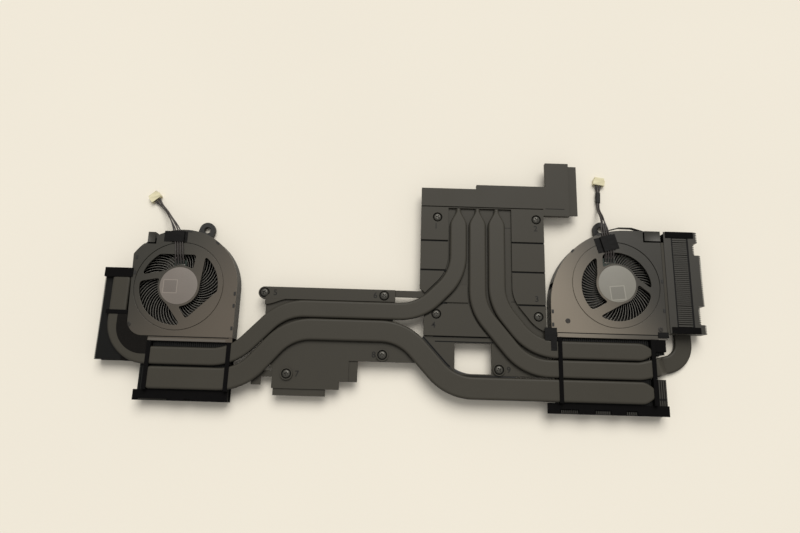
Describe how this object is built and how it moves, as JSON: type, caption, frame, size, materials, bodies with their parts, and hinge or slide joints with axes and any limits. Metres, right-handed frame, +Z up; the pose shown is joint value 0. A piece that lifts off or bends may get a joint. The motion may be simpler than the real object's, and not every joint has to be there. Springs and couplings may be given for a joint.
{
  "type": "laptop cooling fan heatsink",
  "caption": "Flat laptop cooler: blower fans at both ends, flattened heat pipes and fin stacks, with screw-down plates for the processor and graphics chips and short fan leads.",
  "frame": {"origin": "middle of the footprint, without the fan leads, on the surface that the fans and fins lie on", "axes": "+X along the cooler to the right, +Y away from the outlet edge, +Z up out of the surface, towards the screw heads"},
  "size_m": [0.3216, 0.1376, 0.0103],
  "materials": {
    "pipe_paint": "satin black paint over flattened copper tube",
    "plate_paint": "satin black paint on a die-cast plate",
    "left_cover_paint": "dark grey-brown coated sheet steel",
    "right_cover_paint": "grey-brown coated sheet steel",
    "fan_tray": "moulded black plastic",
    "fin_black": "black-coated stamped aluminium fins",
    "contact_copper": "bare milled copper",
    "screw_steel": "blackened steel screw",
    "blade_plastic": "black liquid-crystal polymer",
    "shaft_steel": "ground steel",
    "magnet_ferrite": "bonded magnet ring",
    "bearing_bronze": "sintered sleeve",
    "stator_steel": "stacked laminations",
    "board_green": "solder-masked circuit board",
    "label_grey": "plain paper-faced label",
    "tape_black": "thin black tape and film",
    "foam_black": "black conductive foam",
    "pad_grey": "soft thermal pad",
    "wire_black": "thin black insulation",
    "sleeve_black": "shrunk sleeve",
    "plug_cream": "cream nylon housing"
  },
  "bodies": {
    "root": {"left_pipe": "pipe_paint", "bridge_pipe": "pipe_paint", "middle_pipe": "pipe_paint", "right_pipe": "pipe_paint", "gpu_frame": "plate_paint", "vrm_plate": "plate_paint", "cpu_frame": "plate_paint", "cpu_clamp_bar": "plate_paint", "gpu_cold_plate": "contact_copper", "cpu_cold_plate": "contact_copper", "memory_pads": "pad_grey", "captive_screws": "screw_steel", "left_rear_fins": "fin_black", "left_side_fins": "fin_black", "right_rear_fins": "fin_black", "right_side_fins": "fin_black", "left_rear_straps": "foam_black", "right_rear_straps": "foam_black", "left_side_straps": "foam_black", "right_side_caps": "foam_black", "left_front_gasket": "foam_black", "right_front_gasket": "foam_black", "left_corner_seal": "foam_black", "right_corner_tapes": "tape_black", "right_edge_film": "tape_black", "right_wire_sleeve": "sleeve_black", "left_fan_base": "fan_tray", "left_fan_ear": "fan_tray", "left_fan_cover": "left_cover_paint", "left_bearing": "bearing_bronze", "left_stator": "stator_steel", "left_board": "board_green", "left_label": "label_grey", "left_tape": "tape_black", "left_plug": "plug_cream", "left_fan_wire_1": "wire_black", "left_fan_wire_2": "wire_black", "left_fan_wire_3": "wire_black", "left_fan_wire_4": "wire_black", "right_fan_base": "fan_tray", "right_fan_ear": "fan_tray", "right_fan_cover": "right_cover_paint", "right_bearing": "bearing_bronze", "right_stator": "stator_steel", "right_board": "board_green", "right_label": "label_grey", "right_tape": "tape_black", "right_plug": "plug_cream", "right_fan_wire_1": "wire_black", "right_fan_wire_2": "wire_black", "right_fan_wire_3": "wire_black", "right_fan_wire_4": "wire_black"},
    "left_rotor": {"left_impeller": "blade_plastic", "left_shaft": "shaft_steel", "left_magnet": "magnet_ferrite"},
    "right_rotor": {"right_impeller": "blade_plastic", "right_shaft": "shaft_steel", "right_magnet": "magnet_ferrite"}
  },
  "joints": [
    {"name": "left_impeller_spin", "type": "hinge", "parent": "root", "child": "left_rotor", "pos_m": [-0.12025, -0.00795, 0.004], "axis": [0, 0, 1], "continuous": true},
    {"name": "right_impeller_spin", "type": "hinge", "parent": "root", "child": "right_rotor", "pos_m": [0.11475, 0.00005, 0.004], "axis": [0, 0, 1], "continuous": true}
  ]
}
